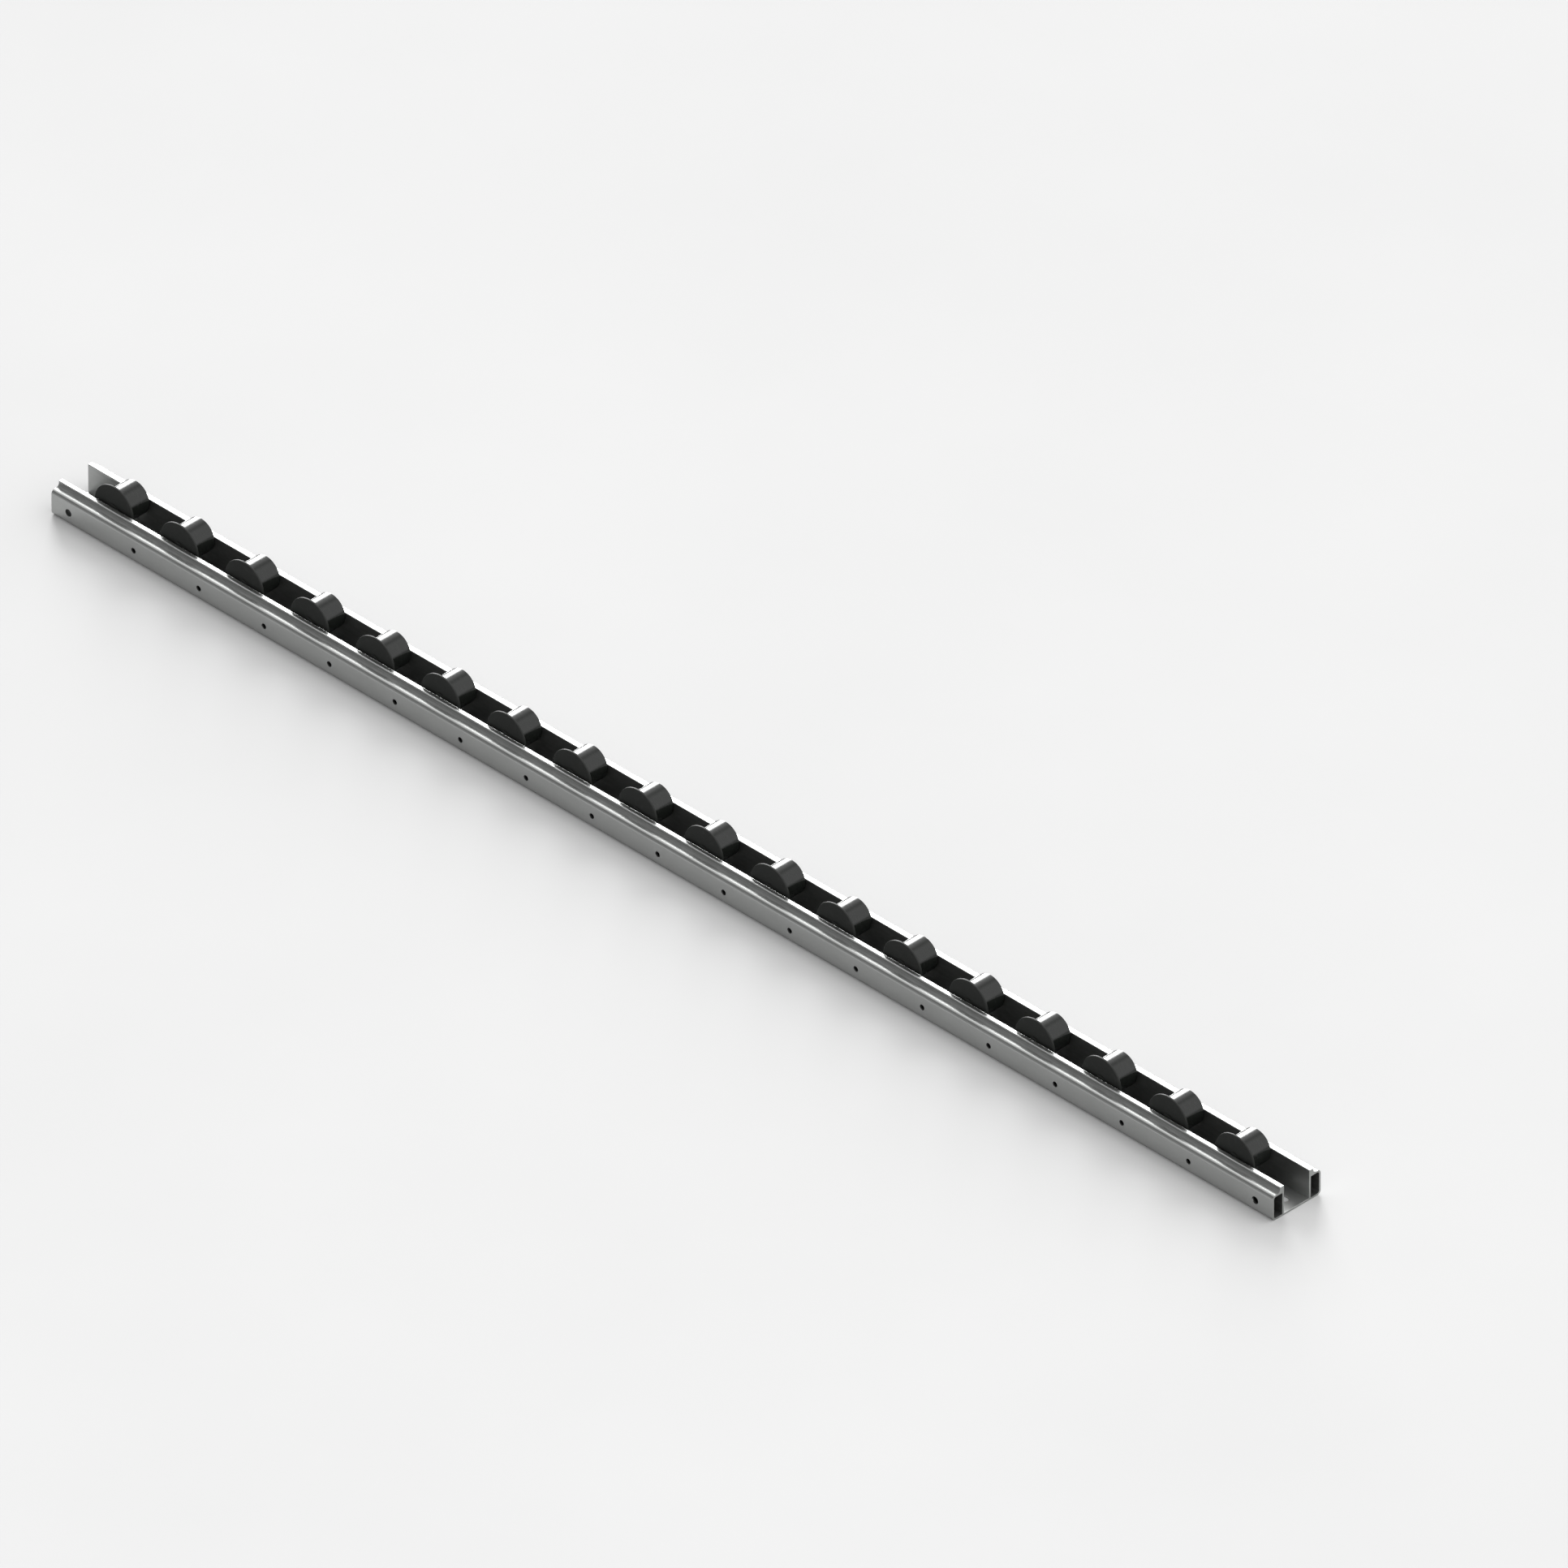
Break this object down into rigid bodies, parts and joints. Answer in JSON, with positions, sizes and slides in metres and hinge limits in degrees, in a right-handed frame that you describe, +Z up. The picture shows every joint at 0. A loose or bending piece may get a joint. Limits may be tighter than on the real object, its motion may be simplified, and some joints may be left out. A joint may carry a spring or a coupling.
{
  "type": "flow rack roller track",
  "caption": "Straight roller track for flow racks: a channel with hollow side profiles holds a row of flanged plastic rollers that turn freely on steel axles.",
  "frame": {"origin": "middle of the underside", "axes": "+X along the track, +Z up; the roller flanges are on the -Y side, the right-hand side when looking along +X"},
  "size_m": [0.926, 0.0364, 0.0322],
  "materials": {
    "channel_metal": "bright extruded aluminium with a soft mirror",
    "axle_steel": "drawn wire, bright",
    "roller_plastic": "moulded black plastic, satin"
  },
  "bodies": {
    "track": {"floor_strip": "channel_metal", "right_side_profile": "channel_metal", "left_side_profile": "channel_metal", "axle_01": "axle_steel", "axle_02": "axle_steel", "axle_03": "axle_steel", "axle_04": "axle_steel", "axle_05": "axle_steel", "axle_06": "axle_steel", "axle_07": "axle_steel", "axle_08": "axle_steel", "axle_09": "axle_steel", "axle_10": "axle_steel", "axle_11": "axle_steel", "axle_12": "axle_steel", "axle_13": "axle_steel", "axle_14": "axle_steel", "axle_15": "axle_steel", "axle_16": "axle_steel", "axle_17": "axle_steel", "axle_18": "axle_steel"},
    "roller_01": {"roller_01": "roller_plastic"},
    "roller_02": {"roller_02": "roller_plastic"},
    "roller_03": {"roller_03": "roller_plastic"},
    "roller_04": {"roller_04": "roller_plastic"},
    "roller_05": {"roller_05": "roller_plastic"},
    "roller_06": {"roller_06": "roller_plastic"},
    "roller_07": {"roller_07": "roller_plastic"},
    "roller_08": {"roller_08": "roller_plastic"},
    "roller_09": {"roller_09": "roller_plastic"},
    "roller_10": {"roller_10": "roller_plastic"},
    "roller_11": {"roller_11": "roller_plastic"},
    "roller_12": {"roller_12": "roller_plastic"},
    "roller_13": {"roller_13": "roller_plastic"},
    "roller_14": {"roller_14": "roller_plastic"},
    "roller_15": {"roller_15": "roller_plastic"},
    "roller_16": {"roller_16": "roller_plastic"},
    "roller_17": {"roller_17": "roller_plastic"},
    "roller_18": {"roller_18": "roller_plastic"}
  },
  "joints": [
    {"name": "roller_01_spin", "type": "hinge", "parent": "track", "child": "roller_01", "pos_m": [-0.425, 0, 0.0177], "axis": [0, 1, 0], "continuous": true},
    {"name": "roller_02_spin", "type": "hinge", "parent": "track", "child": "roller_02", "pos_m": [-0.375, 0, 0.0177], "axis": [0, 1, 0], "continuous": true},
    {"name": "roller_03_spin", "type": "hinge", "parent": "track", "child": "roller_03", "pos_m": [-0.325, 0, 0.0177], "axis": [0, 1, 0], "continuous": true},
    {"name": "roller_04_spin", "type": "hinge", "parent": "track", "child": "roller_04", "pos_m": [-0.275, 0, 0.0177], "axis": [0, 1, 0], "continuous": true},
    {"name": "roller_05_spin", "type": "hinge", "parent": "track", "child": "roller_05", "pos_m": [-0.225, 0, 0.0177], "axis": [0, 1, 0], "continuous": true},
    {"name": "roller_06_spin", "type": "hinge", "parent": "track", "child": "roller_06", "pos_m": [-0.175, 0, 0.0177], "axis": [0, 1, 0], "continuous": true},
    {"name": "roller_07_spin", "type": "hinge", "parent": "track", "child": "roller_07", "pos_m": [-0.125, 0, 0.0177], "axis": [0, 1, 0], "continuous": true},
    {"name": "roller_08_spin", "type": "hinge", "parent": "track", "child": "roller_08", "pos_m": [-0.075, 0, 0.0177], "axis": [0, 1, 0], "continuous": true},
    {"name": "roller_09_spin", "type": "hinge", "parent": "track", "child": "roller_09", "pos_m": [-0.025, 0, 0.0177], "axis": [0, 1, 0], "continuous": true},
    {"name": "roller_10_spin", "type": "hinge", "parent": "track", "child": "roller_10", "pos_m": [0.025, 0, 0.0177], "axis": [0, 1, 0], "continuous": true},
    {"name": "roller_11_spin", "type": "hinge", "parent": "track", "child": "roller_11", "pos_m": [0.075, 0, 0.0177], "axis": [0, 1, 0], "continuous": true},
    {"name": "roller_12_spin", "type": "hinge", "parent": "track", "child": "roller_12", "pos_m": [0.125, 0, 0.0177], "axis": [0, 1, 0], "continuous": true},
    {"name": "roller_13_spin", "type": "hinge", "parent": "track", "child": "roller_13", "pos_m": [0.175, 0, 0.0177], "axis": [0, 1, 0], "continuous": true},
    {"name": "roller_14_spin", "type": "hinge", "parent": "track", "child": "roller_14", "pos_m": [0.225, 0, 0.0177], "axis": [0, 1, 0], "continuous": true},
    {"name": "roller_15_spin", "type": "hinge", "parent": "track", "child": "roller_15", "pos_m": [0.275, 0, 0.0177], "axis": [0, 1, 0], "continuous": true},
    {"name": "roller_16_spin", "type": "hinge", "parent": "track", "child": "roller_16", "pos_m": [0.325, 0, 0.0177], "axis": [0, 1, 0], "continuous": true},
    {"name": "roller_17_spin", "type": "hinge", "parent": "track", "child": "roller_17", "pos_m": [0.375, 0, 0.0177], "axis": [0, 1, 0], "continuous": true},
    {"name": "roller_18_spin", "type": "hinge", "parent": "track", "child": "roller_18", "pos_m": [0.425, 0, 0.0177], "axis": [0, 1, 0], "continuous": true}
  ]
}
